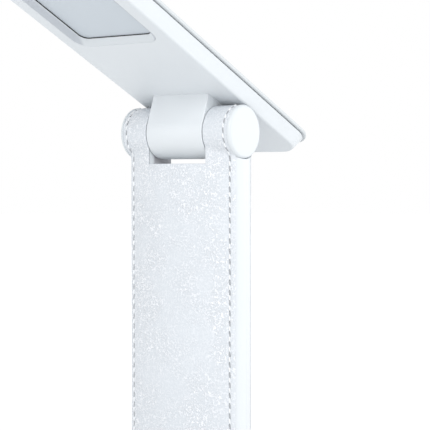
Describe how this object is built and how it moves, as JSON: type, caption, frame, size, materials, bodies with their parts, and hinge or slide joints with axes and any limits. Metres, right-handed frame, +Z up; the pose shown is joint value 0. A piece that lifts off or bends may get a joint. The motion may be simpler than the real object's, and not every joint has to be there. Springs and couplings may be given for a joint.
{
  "type": "folding led desk lamp",
  "caption": "Folding rechargeable desk lamp: flat LED head on a leather-wrapped arm over a low weighted base, with friction hinges at both ends of the arm.",
  "frame": {"origin": "centre of the base's footprint, on the table", "axes": "+Z up, +X along the hinge axes to the lamp's right as its user sees it, -Y towards the user and the head's front end"},
  "size_m": [0.078, 0.2455, 0.3291],
  "materials": {
    "satin_plastic": "satin white moulded ABS",
    "cover_plastic": "smooth white moulded ABS",
    "leather": "white grained leatherette with white stitching",
    "foot_rubber": "grey silicone rubber",
    "diffuser_plastic": "milky opal acrylic",
    "guide_acrylic": "clear acrylic",
    "touch_film": "pale grey touch film",
    "reflector_film": "white reflector film",
    "circuit_board": "green solder mask",
    "board_black": "black moulded epoxy",
    "flat_cable": "amber polyimide film",
    "wire_jacket": "black PVC",
    "foam_tape": "black foam",
    "battery_foil": "matt aluminium pouch",
    "led_phosphor": "yellow phosphor",
    "steel": "zinc-plated steel",
    "screw_steel": "plated screw steel",
    "cast_aluminium": "die-cast, bead-blasted",
    "sheet_aluminium": "bare rolled sheet",
    "washer_plastic": "grey acetal"
  },
  "bodies": {
    "base": {"base_tray": "satin_plastic", "base_shell": "satin_plastic", "foot_ring": "foot_rubber", "base_screws": "screw_steel", "counterweight": "steel", "battery": "battery_foil", "battery_tape": "foam_tape", "main_board": "circuit_board", "board_parts": "board_black", "board_screws": "screw_steel", "usb_socket": "steel", "switch_body": "board_black", "status_lens": "diffuser_plastic", "touch_panel": "touch_film", "touch_board": "circuit_board", "touch_cable": "flat_cable", "base_wire": "wire_jacket", "base_knuckle": "satin_plastic", "base_mount_plate": "steel", "base_knuckle_screws": "screw_steel", "lower_shaft": "steel", "lower_nuts": "screw_steel"},
    "slider": {"power_slider": "satin_plastic"},
    "arm": {"lower_washers": "washer_plastic", "lower_springs": "steel", "lower_yoke": "cast_aluminium", "lower_end_caps": "satin_plastic", "arm_front_casing": "satin_plastic", "arm_rear_casing": "satin_plastic", "arm_stiffener": "steel", "arm_screws": "screw_steel", "arm_wire": "wire_jacket", "leather_strip": "leather", "upper_yoke": "cast_aluminium", "upper_end_caps": "satin_plastic", "upper_washers": "washer_plastic", "upper_springs": "steel"},
    "head": {"upper_shaft": "steel", "upper_nuts": "screw_steel", "head_knuckle": "satin_plastic", "head_mount_plate": "steel", "head_knuckle_screws": "screw_steel", "head_shell": "satin_plastic", "head_cover": "cover_plastic", "diffuser": "diffuser_plastic", "light_guide": "guide_acrylic", "reflector": "reflector_film", "led_strips": "circuit_board", "leds": "led_phosphor", "back_plate": "sheet_aluminium", "back_plate_screws": "screw_steel", "head_wire": "wire_jacket"}
  },
  "joints": [
    {"name": "arm_fold", "type": "hinge", "parent": "base", "child": "arm", "pos_m": [0, 0.078, 0.04224], "axis": [1, 0, 0], "range_deg": [-20, 90]},
    {"name": "head_fold", "type": "hinge", "parent": "arm", "child": "head", "pos_m": [0, 0.078, 0.23724], "axis": [1, 0, 0], "range_deg": [-65, 115]},
    {"name": "power_slide", "type": "slide", "parent": "base", "child": "slider", "axis": [1, 0, 0], "range_m": [0, 0.003]}
  ]
}
